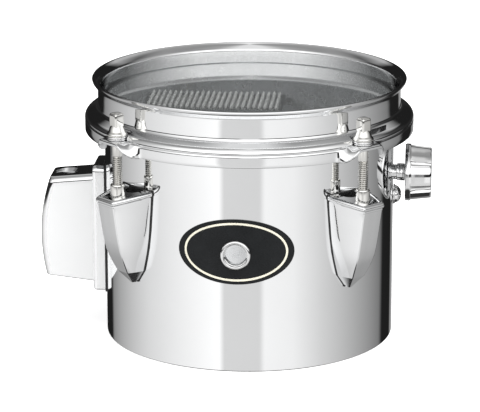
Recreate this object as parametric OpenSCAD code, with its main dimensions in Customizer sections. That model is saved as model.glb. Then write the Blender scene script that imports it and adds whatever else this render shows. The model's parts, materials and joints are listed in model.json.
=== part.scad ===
// Small steel-shell tom with clear head, snare wires under the head, a rod clamp bracket and a snare adjuster.
// The origin is on the drum's axis at the shell's bottom edge. +Z is up, the badge faces -Y,
// the rod bracket is on -X and the snare adjuster is on +X.

/* [Shell] */
// Outer radius of the steel shell
shell_r = 76; // [75.5:0.1:76.2]
// Wall thickness of the shell
shell_t = 1.2; // [0.9:0.1:1.4]
// Height of the shell, up to the edge that carries the head
shell_h = 126.7; // [126.2:0.1:127]

/* [Counter hoop] */
// Outer radius of the upright wall of the hoop
hoop_wall_r = 79.3; // [79.2:0.1:79.8]
// Thickness of the hoop's sheet metal
hoop_t = 2.2; // [1.8:0.1:2.3]
// Height of the rim above the shell's bottom edge
rim_z = 137.8; // [137:0.1:140]
// Outer radius of the skirt
skirt_r = 86.3; // [86.2:0.1:86.6]
// Height of the skirt's lower edge
skirt_z = 110; // [108:0.5:111]

/* [Tension rods and lugs] */
// Radius of the circle that the rods stand on
rod_circle_r = 88; // [87.8:0.1:88.4]
// Radius of a rod's shank and thread crests
rod_r = 2.7; // [2.4:0.05:2.72]
// Height of the top face of the hoop's ears
ear_z = 117.8; // [117.5:0.1:118]
// Height of the lugs' lower tips
lug_tip_z = 40.6; // [36:0.2:42]

/* [Rod bracket] */
// Radius of the bore that takes the mounting rod
clamp_bore_r = 5.3; // [4.8:0.05:5.4]
// Distance from the drum's axis to the mounting rod's axis
clamp_bore_x = 97.7; // [97:0.1:98]
// Width of the bracket's housing
housing_w = 25; // [24:0.5:26]

/* [Snare adjuster] */
// Height of the adjuster's spindle
spindle_z = 87; // [86.5:0.1:87.5]
// Radius of the knob at the end next to the shell
knob_r = 15.1; // [14:0.1:16]
// Number of grooves round the knob
knob_grooves = 6; // [5:1:10]
// Angle of the first groove round the knob
knob_phase = 56; // [0:1:71]

/* [Snare wires] */
// Number of wires
wire_count = 24; // [16:1:26]
// Distance between wires
wire_pitch = 2.9; // [2.6:0.1:2.9]

/* [Hidden] */
$fn = 96;
eps = 0.05;
front_left = -45;
front_right = 45;
rear_left = -135;
rear_right = 135;
lug_angles = [front_left, front_right, rear_left, rear_right];
shell_in_r = shell_r - shell_t;
gasket_in_r = shell_r + 0.03;
gasket_out_r = shell_r + 0.92;
seat_r = gasket_out_r + 0.03;
film_t = 0.25;
film_z = shell_h + eps;

// Turns local +X to the direction that is a degrees from the front, towards +X.
module at_angle(a) { rotate([0, 0, a - 90]) children(); }

// Extrudes a flat shape, drawn as tangential distance and height, outward from radius r0 to r1.
module radial_extrude(r0, r1) {
    translate([r0, 0, 0]) rotate([90, 0, 90]) linear_extrude(r1 - r0) children();
}

// Revolves a profile, drawn as radius and distance from the drum's axis, about a radial axis at height z.
module radial_revolve(z) {
    translate([0, 0, z]) rotate([0, 90, 0]) rotate_extrude() children();
}

// A cylinder along the local radial direction, from radius r0 to r1, at height z.
module radial_pin(r, r0, r1, z, y = 0) {
    translate([r0, y, z]) rotate([0, 90, 0]) cylinder(r = r, h = r1 - r0);
}

// A cylinder along Y between y0 and y1.
module cross_pin(r, x, y0, y1, z) {
    translate([x, y1, z]) rotate([90, 0, 0]) cylinder(r = r, h = y1 - y0);
}

// A ring about the drum's axis.
module ring(r_in, r_out, z0, z1) {
    rotate_extrude() translate([r_in, z0]) square([r_out - r_in, z1 - z0]);
}

function arc(c, r, a0, a1, n) = [for (i = [0 : n]) c + r * [cos(a0 + (a1 - a0) * i / n), sin(a0 + (a1 - a0) * i / n)]];

// ---- Shell, badge and vent ----
lip = 1.6;
edge_rise = 1.8;
badge_a = -0.75;
vent_z = 62.4;
vent_r = 5.75;
screw_r = 1.95;
lug_screw_z = [54, 78];
bracket_screw_z = [38, 72];
bracket_screw_r = 3;
bushing_hole_r = 4.05;
dome_screw_z = 75;

module shell() {
    outer = [[shell_in_r - lip, 0], [shell_r, 0], [shell_r, shell_h - edge_rise], [shell_r - lip, shell_h]];
    inner = [[shell_in_r - lip, shell_h], [shell_in_r, shell_h - edge_rise - 0.2], [shell_in_r, shell_t],
        [shell_in_r - lip, shell_t]];
    color("gainsboro") difference() {
        rotate_extrude($fn = 180) polygon(concat(outer, inner));
        at_angle(badge_a) radial_pin(vent_r + eps, 70, 80, vent_z);
        for (a = lug_angles, z = lug_screw_z) at_angle(a) radial_pin(screw_r + 0.25, 70, 80, z);
        for (z = bracket_screw_z) at_angle(-90) radial_pin(bracket_screw_r + 0.25, 70, 80, z);
        at_angle(90) radial_pin(bushing_hole_r, 70, 80, spindle_z);
        at_angle(90) radial_pin(screw_r + 0.25, 70, 80, dome_screw_z);
    }
}

badge_half_w = 30.3;
badge_half_h = 17.1;
badge_z = 63.9;
badge_t = 0.6;

module badge() {
    oval = [for (i = [0 : 95]) [badge_half_w * cos(i * 3.75), badge_z + badge_half_h * sin(i * 3.75)]];
    color("#17191a") at_angle(badge_a) difference() {
        intersection() {
            radial_extrude(60, 80) polygon(oval);
            ring(gasket_in_r, shell_r + badge_t, 40, 90);
        }
        radial_pin(vent_r + eps, 60, 80, vent_z);
    }
}

module vent_grommet() {
    inside = shell_in_r - 1.5;
    face = shell_r + badge_t + 0.03;
    profile = [[vent_r - 0.4, inside], [7.4, inside], [7.4, inside + 0.9], [vent_r, inside + 0.9], [vent_r, face],
        [7.7, face], [7.75, face + 0.6], [7.2, face + 1.3], [6.4, face + 1.5], [vent_r - 0.4, face + 0.9]];
    color("silver") at_angle(badge_a) radial_revolve(vent_z) polygon(profile);
}

// ---- Lugs ----
lug_back_z = 90.6;
lug_front_z = 88;
lug_front_u = 95.8;
lug_pitch = atan((lug_back_z - lug_front_z) / (lug_front_u - shell_r));
// Rows from top to tip: height, half width at the shell, reach from the drum's axis, half width of the front face.
lug_rows = [[92, 12.4, 97.2, 6.5], [70, 10.6, 93.6, 6.2], [60, 9.2, 91.5, 6], [52.5, 7.3, 88, 5.2],
    [46, 4.8, 83.6, 2.8], [lug_tip_z, 1, 79.7, 0.6]];
nut_seat_z = 80.4;
nut_shoulder_z = 87.6;
nut_top_z = 94.5;
nut_body_r = 4.35;
nut_collar_r = 3.7;

module lug_body(inset, z_low) {
    hull() for (row = lug_rows) {
        b = max(row[1] - inset, 0.3);
        u = row[2] - inset;
        t = max(row[3] - inset * 0.8, 0.2);
        if (row[0] >= z_low) translate([0, 0, row[0] - eps / 2]) linear_extrude(eps)
            polygon([[74 - inset, -b], [u, -t], [u, t], [74 - inset, b]]);
    }
}

module lug(a) {
    color("silver") at_angle(a) difference() {
        intersection() {
            lug_body(0, 0);
            union() {
                difference() {
                    translate([70, -20, 30]) cube([40, 40, 70]);
                    intersection() {
                        lug_body(1.9, 45);
                        translate([60, -20, 30]) cube([50, 40, 55.8]);
                    }
                }
                translate([rod_circle_r, 0, nut_seat_z - 4]) cylinder(r = nut_body_r + 1.6, h = 14);
                for (z = lug_screw_z) radial_pin(3.6, 74, 85, z);
            }
        }
        cylinder(r = seat_r, h = 120, $fn = 180);
        translate([shell_r, 0, lug_back_z]) rotate([0, lug_pitch, 0]) translate([-20, -20, 0]) cube([60, 40, 10]);
        translate([rod_circle_r, 0, nut_seat_z]) cylinder(r = nut_body_r + eps, h = nut_shoulder_z - nut_seat_z);
        translate([rod_circle_r, 0, nut_seat_z]) cylinder(r = nut_collar_r + eps, h = 20);
        translate([rod_circle_r, 0, nut_seat_z - 7]) cylinder(r = rod_r + 0.3, h = 20);
        translate([shell_r + 0.6, 0, 85]) cylinder(r = 5, h = 10);
        for (z = lug_screw_z) radial_pin(screw_r + eps, 70, 82, z);
    }
}

module lug_gaskets() {
    edge = 0.1;
    side = [for (row = lug_rows) [row[1] + edge, min(row[0], lug_back_z) + (row[0] > 90 ? edge : 0)]];
    tip = [[1.6 + edge, lug_tip_z - edge], [-1.6 - edge, lug_tip_z - edge]];
    other = [for (i = [len(side) - 1 : -1 : 0]) [-side[i][0], side[i][1]]];
    color("#222222") for (a = lug_angles) at_angle(a) difference() {
        intersection() {
            radial_extrude(60, 90) polygon(concat(side, tip, other));
            ring(gasket_in_r, gasket_out_r, 30, 100);
        }
        for (z = lug_screw_z) radial_pin(screw_r + 0.3, 60, 90, z);
    }
}

module swivel_nuts() {
    bore = rod_r + eps;
    profile = [[bore, nut_seat_z], [nut_body_r, nut_seat_z], [nut_body_r, nut_shoulder_z],
        [nut_collar_r, nut_shoulder_z], [nut_collar_r, nut_top_z - 0.4], [nut_collar_r - 0.4, nut_top_z],
        [bore, nut_top_z]];
    color("lightgray") for (a = lug_angles) at_angle(a) translate([rod_circle_r, 0, 0])
        rotate_extrude() polygon(profile);
}

lug_screw_head_u = 73.55;

module lug_screws() {
    color("darkgray") for (a = lug_angles, z = lug_screw_z) at_angle(a) difference() {
        union() {
            radial_pin(screw_r, lug_screw_head_u, 81.5, z);
            radial_pin(3.4, lug_screw_head_u - 2.4, lug_screw_head_u, z);
        }
        translate([lug_screw_head_u - 3, -0.5, z - 4]) cube([1.8, 1, 8]);
        translate([lug_screw_head_u - 3, -4, z - 0.5]) cube([1.8, 8, 1]);
    }
}

module lug_washers() {
    color("gray") for (a = lug_angles, z = lug_screw_z) at_angle(a) difference() {
        radial_pin(4.4, lug_screw_head_u + 0.02, lug_screw_head_u + 1, z);
        radial_pin(screw_r + 0.1, 70, 80, z);
    }
}

// ---- Counter hoop, head and tension rods ----
root_r = skirt_r - eps - hoop_t / 2;
root_z = ear_z - hoop_t / 2;
ear_flat = 3.6;
ear_end = 10.8;
ear_reach = 94.4 - root_r;
// Angles from an ear's middle at which the skirt strip is drawn.
half_stations = [0, 1.8, 3.6, 4.8, 5.8, 6.7, 7.6, 8.6, 9.6, 10.8, 12.5, 16, 20, 24, 28, 32, 36, 40];

module hoop_ring() {
    wall_in = hoop_wall_r - 2.3;
    outside = concat(
        [[hoop_wall_r + 1.9, rim_z - 1.5]],
        arc([hoop_wall_r + 2.4, 132.6], 2.4, 140, 180, 4),
        arc([hoop_wall_r + 2.6, 123.6], 2.6, 180, 248, 6),
        arc([skirt_r - 3.4, 116.9], 3.4, 72, 0, 8),
        [[skirt_r, 115.9], [skirt_r - hoop_t, 115.9]]);
    inside = concat(
        [[skirt_r - hoop_t, 117.1], [81.4, 118.4], [79.4, 119.3]],
        arc([wall_in + 2.4, 121.8], 2.4, 250, 180, 5),
        arc([wall_in + 2.2, 133.6], 2.2, 180, 132, 4),
        [[hoop_wall_r + 1.2, rim_z], [hoop_wall_r + 2.5, rim_z - 0.1], [hoop_wall_r + 2.7, rim_z - 0.7]]);
    rotate_extrude($fn = 180) polygon(concat(outside, inside));
}

// Four corners of the skirt strip's section at angle a, which is off degrees from the nearest ear's middle.
// At an ear the strip lies flat and reaches outward; between the ears it hangs straight down.
function strip(a, off) =
    let (f = min(max((abs(off) - ear_flat) / (ear_end - ear_flat), 0), 1))
    let (bend = 90 * f * f * (3 - 2 * f))
    let (reach = (root_z - skirt_z) * f + ear_reach * (1 - f))
    let (d = [cos(bend), -sin(bend)], n = [sin(bend), cos(bend)] * hoop_t / 2, c = [root_r, root_z])
    [for (p = [c + n, c + n + d * reach, c - n + d * reach, c - n]) [p[0] * cos(a), p[0] * sin(a), p[1]]];

module hoop_skirt() {
    down = [for (i = [len(half_stations) - 1 : -1 : 1]) -half_stations[i]];
    around = concat([-45], down, half_stations);
    rows = [for (ear = [45 : 90 : 315], off = around) strip(ear + off, off)];
    count = 4 * len(rows);
    faces = [for (i = [0 : len(rows) - 1], k = [0 : 3])
        let (p = 4 * i + k, q = 4 * i + (k + 1) % 4, r = (p + 4) % count, s = (q + 4) % count)
        each [[p, r, q], [q, r, s]]];
    polyhedron([for (row = rows) each row], faces);
}

module counter_hoop() {
    color("whitesmoke") difference() {
        union() {
            hoop_ring();
            hoop_skirt();
        }
        for (a = lug_angles) at_angle(a) translate([rod_circle_r, 0, 0]) {
            translate([0, 0, ear_z]) cylinder(r = 5.7, h = 8);
            translate([0, 0, 100]) cylinder(r = rod_r + 0.3, h = 30);
        }
    }
}

film_r = 75.2;

module drumhead_film() {
    color("#cfd8dc", 0.4) translate([0, 0, film_z]) cylinder(r = film_r, h = film_t, $fn = 180);
}

module drumhead_collar() {
    top = film_z + film_t;
    start = film_r + 0.02;
    outside = [[start, top], [75.6, top], [76.6, 125.7], [76.75, 121.5], [78.4, 117.2], [78.4, 113]];
    inside = [[78.15, 113], [78.15, 117.1], [76.5, 121.4], [76.35, 125.6], [75.4, film_z], [start, film_z]];
    color("#cfd8dc", 0.4) rotate_extrude($fn = 180) polygon(concat(outside, inside));
}

module flesh_hoop() {
    color("silver") rotate_extrude($fn = 180)
        polygon([[78.45, 112.2], [83.5, 112.2], [83.5, 116.8], [82.6, 117.6], [80.5, 118.5], [79, 118.6], [78.45, 118]]);
}

washer_t = 1.9;
collar_z = ear_z + washer_t + 0.05;

module rod_washers() {
    color("silver") for (a = lug_angles) at_angle(a) translate([rod_circle_r, 0, ear_z]) difference() {
        cylinder(r = 5.2, h = washer_t);
        cylinder(r = rod_r + 0.2, h = 10, center = true);
    }
}

module rod(a) {
    head_w = 5.7;
    head_z = 131.6;
    low_z = 74;
    profile = [[0, low_z], [rod_r - 0.6, low_z], [rod_r, low_z + 0.8], [rod_r, collar_z], [5.2, collar_z],
        [5.3, collar_z + 1.2], [4.6, collar_z + 1.9], [3.9, collar_z + 2.6], [3.2, collar_z + 5], [0, collar_z + 5]];
    color("silver") at_angle(a) translate([rod_circle_r, 0, 0]) union() {
        rotate_extrude() polygon(profile);
        intersection() {
            translate([0, 0, 127]) cube([head_w, head_w, 2 * (head_z - 127)], center = true);
            rotate_extrude() polygon([[0, collar_z + 2], [3.7, collar_z + 2], [3.7, head_z - 0.7], [3, head_z], [0, head_z]]);
        }
    }
}

// ---- Rod bracket ----
plate_z = [22.2, 90];
plate_half_w = 13.6;
plate_u = 82;
plate_edge_r = 3;
housing_z = [29.5, 83.2];
housing_top_z = 85.3;
housing_u = 110;
housing_edge_r = 3;
eye_z = 55;
eye_h = 8;
eye_r = 9;
eye_shank_r = 3;
clamp_travel = 1;

bulge_r = 97;
bulge_end_u = housing_u - bulge_r + sqrt(bulge_r * bulge_r - (housing_z[1] - 52) * (housing_z[1] - 52));
top_slope = atan((housing_top_z - housing_z[1]) / (bulge_end_u - plate_u));

module housing_outline() {
    bulge = arc([housing_u - bulge_r, 52], bulge_r, asin((housing_z[0] - 52) / bulge_r),
        asin((housing_z[1] - 52) / bulge_r), 12);
    polygon(concat([[plate_u - 1, housing_z[0] - 2.6]], bulge,
        [[plate_u - 1, housing_top_z + tan(top_slope)]]));
}

// Tangential distance and height of an outline with rounded top corners, its top at height 0.
module round_top(half_w, edge_r, drop) {
    for (s = [-1, 1]) translate([s * (half_w - edge_r), -edge_r]) circle(r = edge_r);
    translate([edge_r - half_w, -edge_r]) square([2 * (half_w - edge_r), edge_r]);
    translate([-half_w, -drop]) square([2 * half_w, drop - edge_r]);
}

module plate_outline(extra) {
    translate([0, plate_z[1] + extra])
        round_top(plate_half_w + extra, plate_edge_r + extra, plate_z[1] - plate_z[0] + 2 * extra);
}

module bracket_casting() {
    corner_r = 3;
    bore_low_z = 28.6;
    color("white") at_angle(-90) difference() {
        union() {
            intersection() {
                translate([0, housing_w / 2, 0]) rotate([90, 0, 0]) linear_extrude(housing_w) housing_outline();
                translate([0, 0, 20]) linear_extrude(80) {
                    translate([70, -housing_w / 2]) square([housing_u - corner_r - 70, housing_w]);
                    translate([70, -housing_w / 2 + corner_r]) square([housing_u + 1 - 70, housing_w - 2 * corner_r]);
                    for (s = [-1, 1]) translate([housing_u - corner_r, s * (housing_w / 2 - corner_r)])
                        circle(r = corner_r);
                }
                translate([plate_u, 0, housing_top_z]) rotate([0, top_slope, 0]) translate([-12, 0, 0])
                    rotate([90, 0, 90]) linear_extrude(60) round_top(housing_w / 2, housing_edge_r, 80);
            }
            radial_extrude(74, plate_u) plate_outline(0);
        }
        cylinder(r = seat_r, h = 120, $fn = 180);
        translate([clamp_bore_x, 0, 0]) cylinder(r = clamp_bore_r, h = 120);
        translate([clamp_bore_x, 0, 0]) cylinder(r = 7.6, h = bore_low_z);
        translate([clamp_bore_x, 0, eye_z - eye_h / 2 - 0.3]) linear_extrude(eye_h + 0.6) {
            circle(r = eye_r + 0.5);
            translate([0, -clamp_travel - 0.3]) circle(r = eye_r + 0.4);
            translate([-4.5, -12.5]) square([9, 8]);
        }
        cross_pin(eye_shank_r + 0.3, clamp_bore_x, -20, 0, eye_z);
        for (z = bracket_screw_z) radial_pin(bracket_screw_r + eps, 70, 90, z);
    }
}

module bracket_gasket() {
    color("#1c1c1c") at_angle(-90) difference() {
        intersection() {
            radial_extrude(60, 90) plate_outline(0.6);
            ring(gasket_in_r, gasket_out_r, 10, 100);
        }
        for (z = bracket_screw_z) radial_pin(bracket_screw_r + 0.3, 60, 90, z);
    }
}

module bracket_backplate() {
    color("gray") at_angle(-90) difference() {
        intersection() {
            radial_extrude(60, 90) translate([-13, 26]) square([26, 58]);
            ring(shell_in_r - 1.6, shell_in_r - 0.07, 10, 100);
        }
        for (z = bracket_screw_z) radial_pin(bracket_screw_r + 0.2, 60, 90, z);
    }
}

module bracket_screws() {
    head_u = shell_in_r - 1.8;
    color("dimgray") at_angle(-90) for (z = bracket_screw_z) difference() {
        union() {
            radial_pin(bracket_screw_r, head_u, 89, z);
            translate([head_u - 4, 0, z]) rotate([0, 90, 0]) cylinder(r = 5.8, h = 4, $fn = 6);
        }
    }
}

module clamp_eyebolt() {
    color("silver") at_angle(-90) difference() {
        union() {
            translate([clamp_bore_x, 0, eye_z - eye_h / 2]) cylinder(r = eye_r, h = eye_h);
            cross_pin(eye_shank_r, clamp_bore_x, -27, -5, eye_z);
        }
        translate([clamp_bore_x, 0, eye_z - 10]) cylinder(r = clamp_bore_r + 0.2, h = 20);
    }
}

// The wing nut turns about the eyebolt's shank, behind the bracket.
module clamp_wing_nut() {
    face = housing_w / 2 + 0.3;
    color("silver") translate([-clamp_bore_x, 0, eye_z]) rotate([-90, 0, 0]) difference() {
        union() {
            translate([0, 0, face]) cylinder(r1 = 7, r2 = 5.2, h = 8);
            for (s = [-1, 1]) intersection() {
                translate([0, s * 8.2, face + 8]) rotate([0, 90, 0]) cylinder(r = 6.8, h = 3.2, center = true);
                translate([-3, s > 0 ? 3 : -23, face + 0.6]) cube([6, 20, 20]);
            }
        }
        cylinder(r = eye_shank_r + eps, h = 60);
    }
}

// ---- Snare adjuster ----
knob_u = [82.2, 96];
knob_ring_t = 2.9;
collar_end = 77.7;
neck_end = 81.9;
neck_r = 4.6;
bushing_thread_r = 3.95;
spindle_r = 2.5;
pin_r = 1.5;
pivot_x = 63;
pivot_z = 77;
bracket_face = 73.4;

module adjuster_bushing() {
    bore = spindle_r + eps;
    profile = [[bore, 69], [bushing_thread_r, 69], [bushing_thread_r, collar_end], [neck_r - 0.3, collar_end],
        [neck_r, collar_end + 0.3], [neck_r, neck_end], [bore, neck_end]];
    color("silver") at_angle(90) radial_revolve(spindle_z) polygon(profile);
}

module bushing_nut() {
    color("gray") translate([bracket_face - 1.65 - 3, 0, spindle_z]) rotate([0, 90, 0]) difference() {
        cylinder(r = 6.6, h = 3, $fn = 6);
        translate([0, 0, -1]) cylinder(r = bushing_thread_r + eps, h = 6);
    }
}

module dome_screw() {
    dome_r = 4.6;
    dome_h = 3.4;
    ball_r = (dome_r * dome_r + dome_h * dome_h) / (2 * dome_h);
    washer_r = 5.3;
    face = shell_r + 0.95;
    dome = arc([0, face + dome_h - ball_r], ball_r, asin((ball_r - dome_h) / ball_r), 90, 10);
    color("silver") at_angle(90) difference() {
        radial_revolve(dome_screw_z)
            polygon(concat([[0, 69.2], [screw_r, 69.2], [screw_r, face - 0.8], [washer_r, face - 0.8], [washer_r, face],
                [dome_r, face]], dome));
        translate([face + dome_h - 1.3, -0.5, dome_screw_z - 4]) cube([3, 1, 8]);
        translate([face + dome_h - 1.3, -4, dome_screw_z - 0.5]) cube([3, 8, 1]);
    }
}

module dome_screw_nut() {
    color("gray") translate([bracket_face - 1.65 - 2, 0, dome_screw_z]) rotate([0, 90, 0]) difference() {
        cylinder(r = 3.6, h = 2, $fn = 6);
        translate([0, 0, -1]) cylinder(r = screw_r + eps, h = 5);
    }
}

module adjuster_knob() {
    outer_r = knob_r - 1.9;
    length = knob_u[1] - knob_u[0];
    lean = atan((knob_r - outer_r) / length);
    groove_r = 2.4;
    color("white") translate([knob_u[0], 0, spindle_z]) rotate([0, 90, 0]) difference() {
        union() {
            cylinder(r = knob_r, h = knob_ring_t);
            cylinder(r1 = knob_r - 0.2, r2 = outer_r, h = length);
        }
        for (i = [0 : knob_grooves - 1]) rotate([0, 0, knob_phase + i * 360 / knob_grooves])
            translate([knob_r + groove_r - 1.5, 0, 0]) rotate([0, -lean, 0])
            translate([0, 0, knob_ring_t]) cylinder(r = groove_r, h = length);
        translate([0, 0, -1]) cylinder(r = spindle_r + 0.02, h = length - 2);
    }
}

module adjuster_spindle() {
    collar_x = 67.3;
    color("silver") at_angle(90) union() {
        radial_pin(spindle_r, pivot_x - 9, knob_u[1] - 3.2, spindle_z);
        radial_pin(3.6, collar_x, collar_x + 1.3, spindle_z);
    }
}

module pivot_bracket() {
    cheek_in = 9;
    cheek_out = 10.5;
    color("gray") difference() {
        union() {
            translate([bracket_face - 1.6, -cheek_out, 70]) cube([1.6, 2 * cheek_out, 24]);
            for (s = [cheek_in, -cheek_out]) translate([0, s, 0]) {
                translate([pivot_x - 4, 0, 71]) cube([bracket_face - pivot_x + 4, cheek_out - cheek_in, 12]);
            }
        }
        radial_pin(bushing_thread_r + 0.1, 60, 90, spindle_z);
        radial_pin(screw_r + 0.1, 60, 90, dome_screw_z);
        cross_pin(pin_r + 0.02, pivot_x, -20, 20, pivot_z);
    }
}

module pivot_pin() {
    color("silver") union() {
        cross_pin(pin_r, pivot_x, -11.4, 11.4, pivot_z);
        cross_pin(pin_r + 0.9, pivot_x, -11.4, -10.6, pivot_z);
        cross_pin(pin_r + 0.9, pivot_x, 10.6, 11.4, pivot_z);
    }
}

module lifter_nut() {
    color("goldenrod") difference() {
        union() {
            translate([pivot_x - 3.5, -4.5, spindle_z - 4.2]) cube([7, 9, 8.4]);
            cross_pin(pin_r, pivot_x, -8.3, 8.3, spindle_z);
        }
        radial_pin(spindle_r + eps, 50, 80, spindle_z);
    }
}

arm_cheek = [6.4, 8];
arm_t = 1.2;
rivet_x = [-40, -10, 12];
carrier_x = [-54.5, 18.5];
carrier_y = [-23, 12];
carrier_z = 124;
wire_r = 0.9;
wire_z = shell_h - wire_r - 0.25;

// Side outline of a cheek of the lifter arm: a bell crank from the pivot, past the nut, up and in to the carrier.
module arm_outline() {
    difference() {
        polygon([[pivot_x - 4, pivot_z - 4], [pivot_x + 4, pivot_z - 4], [pivot_x + 4, 96], [pivot_x - 2, 102],
            [20, carrier_z - 1.2], [12, carrier_z - 1.2], [12, carrier_z - 4], [pivot_x - 6, 95]]);
        translate([pivot_x, pivot_z]) circle(r = pin_r + eps);
        translate([pivot_x - pin_r - 0.15, spindle_z - 2.2]) square([2 * pin_r + 0.3, 4.4]);
    }
}

module lifter_arm() {
    strip_z = carrier_z - arm_t - 0.02;
    arm_half_w = 7.7;
    color("silver") difference() {
        union() {
            for (s = [arm_cheek[0], -arm_cheek[1]]) translate([0, s + arm_cheek[1] - arm_cheek[0], 0])
                rotate([90, 0, 0]) linear_extrude(arm_cheek[1] - arm_cheek[0]) arm_outline();
            rotate([90, 0, 0]) translate([0, 0, -arm_half_w]) linear_extrude(2 * arm_half_w) polygon([
                [-46, strip_z], [20, strip_z], [pivot_x - 2, 102 - arm_t], [pivot_x - 2, 102],
                [20 + 2 * arm_t, strip_z + arm_t], [-46, strip_z + arm_t]]);
        }
        for (x = rivet_x) translate([x, 0, carrier_z - 5]) cylinder(r = 1.1, h = 10);
    }
}

module snare_carrier() {
    w = carrier_x[1] - carrier_x[0];
    d = carrier_y[1] - carrier_y[0];
    color("silver") difference() {
        union() {
            translate([carrier_x[0], carrier_y[0] + 1, carrier_z]) cube([w, d - 2, 0.6]);
            for (y = [carrier_y[0], carrier_y[1] - 1]) translate([carrier_x[0], y, carrier_z - 1.4]) cube([w, 1, 2]);
        }
        for (x = rivet_x) translate([x, 0, carrier_z - 5]) cylinder(r = 1.1, h = 10);
    }
}

module carrier_rivets() {
    low = carrier_z - arm_t - 0.04;
    color("gray") for (x = rivet_x) translate([x, 0, low]) union() {
        cylinder(r = 1.05, h = carrier_z + 0.58 - low);
        translate([0, 0, -0.7]) cylinder(r1 = 1.4, r2 = 2, h = 0.7);
    }
}

module snare_wires() {
    x0 = (carrier_x[0] + carrier_x[1] - (wire_count - 1) * wire_pitch) / 2;
    color("gainsboro") for (i = [0 : wire_count - 1])
        cross_pin(wire_r - 0.02, x0 + i * wire_pitch, carrier_y[0], carrier_y[1], wire_z, $fn = 24);
}

shell();
badge();
vent_grommet();
lug(front_left);  // lug_front_left
lug(front_right);  // lug_front_right
lug(rear_left);  // lug_rear_left
lug(rear_right);  // lug_rear_right
lug_gaskets();
swivel_nuts();
lug_screws();
lug_washers();
counter_hoop();
drumhead_film();
drumhead_collar();
flesh_hoop();
rod_washers();
rod(front_left);  // rod_front_left
rod(front_right);  // rod_front_right
rod(rear_left);  // rod_rear_left
rod(rear_right);  // rod_rear_right
bracket_casting();
bracket_gasket();
bracket_backplate();
bracket_screws();
clamp_eyebolt();
clamp_wing_nut();
adjuster_bushing();
bushing_nut();
dome_screw();
dome_screw_nut();
adjuster_knob();
adjuster_spindle();
pivot_bracket();
pivot_pin();
lifter_nut();
lifter_arm();
snare_carrier();
carrier_rivets();
snare_wires();
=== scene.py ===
import math
import bpy
from mathutils import Matrix, Vector
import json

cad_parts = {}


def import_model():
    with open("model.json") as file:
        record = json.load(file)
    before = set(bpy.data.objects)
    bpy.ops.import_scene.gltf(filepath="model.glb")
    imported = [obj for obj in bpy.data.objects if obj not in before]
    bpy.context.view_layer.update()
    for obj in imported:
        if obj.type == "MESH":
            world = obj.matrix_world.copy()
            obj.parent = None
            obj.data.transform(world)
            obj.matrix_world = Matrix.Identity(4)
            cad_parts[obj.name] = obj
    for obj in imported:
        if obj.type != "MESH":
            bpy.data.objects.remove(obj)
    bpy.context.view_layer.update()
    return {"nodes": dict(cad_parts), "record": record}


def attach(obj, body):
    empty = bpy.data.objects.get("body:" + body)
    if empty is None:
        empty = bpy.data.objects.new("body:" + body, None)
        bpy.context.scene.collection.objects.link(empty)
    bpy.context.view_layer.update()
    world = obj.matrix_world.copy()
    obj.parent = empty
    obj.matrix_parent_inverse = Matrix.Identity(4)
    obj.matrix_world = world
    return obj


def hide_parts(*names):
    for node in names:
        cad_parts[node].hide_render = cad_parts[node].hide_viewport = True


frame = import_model()
MM = 0.001  # everything below is in millimetres until new_mesh
LUG_ANGLES = {"front_left": -45, "front_right": 45, "rear_left": -135, "rear_right": 135}
LUG_SCREW_Z = (54, 78)
ROD_CIRCLE = 88.0
SHELL_R = 76.0
SHELL_T = 1.2
SHELL_H = 126.7
VENT_ANGLE = -0.75
VENT_Z = 62.4
BORE_X = 97.7
EYE_Z = 55
KNOB_Z = 87
DOME_Z = 75


# ------------------------------------------------------------------ mesh helpers
def new_mesh(name, verts, faces, sharp=35, mat=None):
    me = bpy.data.meshes.new(name)
    me.from_pydata([(v[0] * MM, v[1] * MM, v[2] * MM) for v in verts], [], faces)
    me.validate()
    me.update()
    for p in me.polygons:
        p.use_smooth = True
    me.set_sharp_from_angle(angle=math.radians(sharp))
    ob = bpy.data.objects.new(name, me)
    bpy.context.scene.collection.objects.link(ob)
    if mat:
        me.materials.append(mat)
    return ob


def merge(parts):
    """One (verts, faces) pair from several."""
    vs, fs = [], []
    for v, f in parts:
        n = len(vs)
        vs += list(v)
        fs += [tuple(i + n for i in q) for q in f]
    return vs, fs


def join(name, parts, sharp=35, mat=None):
    return new_mesh(name, *merge(parts), sharp, mat)


def xf(geo, fn):
    return [fn(v) for v in geo[0]], geo[1]


def shift(geo, x, y=0, z=0):
    return xf(geo, lambda v: (v[0] + x, v[1] + y, v[2] + z))


def flip(geo):
    return geo[0], [tuple(reversed(f)) for f in geo[1]]


def to_angle(deg):
    """Turns local (radial, tangential, z) points so that the radial one is deg from the front towards +X."""
    a = math.radians(deg - 90)
    c, s = math.cos(a), math.sin(a)
    return lambda p: (p[0] * c - p[1] * s, p[0] * s + p[1] * c, p[2])


def polar(r, i, seg):
    """Point i of seg on a circle of radius r."""
    a = 2 * math.pi * i / seg
    return r * math.cos(a), r * math.sin(a)


def lathe(profile, seg=96, closed=False):
    """Revolves (r, z) points about Z. Points with r = 0 close the ends."""
    vs, fs, rows = [], [], []
    for r, z in profile:
        if r < 1e-6:
            rows.append([len(vs)] * seg)
            vs.append((0, 0, z))
        else:
            rows.append(list(range(len(vs), len(vs) + seg)))
            vs += [(*polar(r, i, seg), z) for i in range(seg)]
    pairs = list(zip(rows, rows[1:]))
    if closed:
        pairs.append((rows[-1], rows[0]))
    for a, b in pairs:
        for i in range(seg):
            j = (i + 1) % seg
            q = [a[i], a[j], b[j], b[i]]
            q = [k for n, k in enumerate(q) if k not in q[:n]]
            if len(q) > 2:
                fs.append(tuple(q))
    return vs, fs


def cylinder(r, z0, z1, seg):
    return lathe([(0, z0), (r, z0), (r, z1), (0, z1)], seg)


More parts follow.
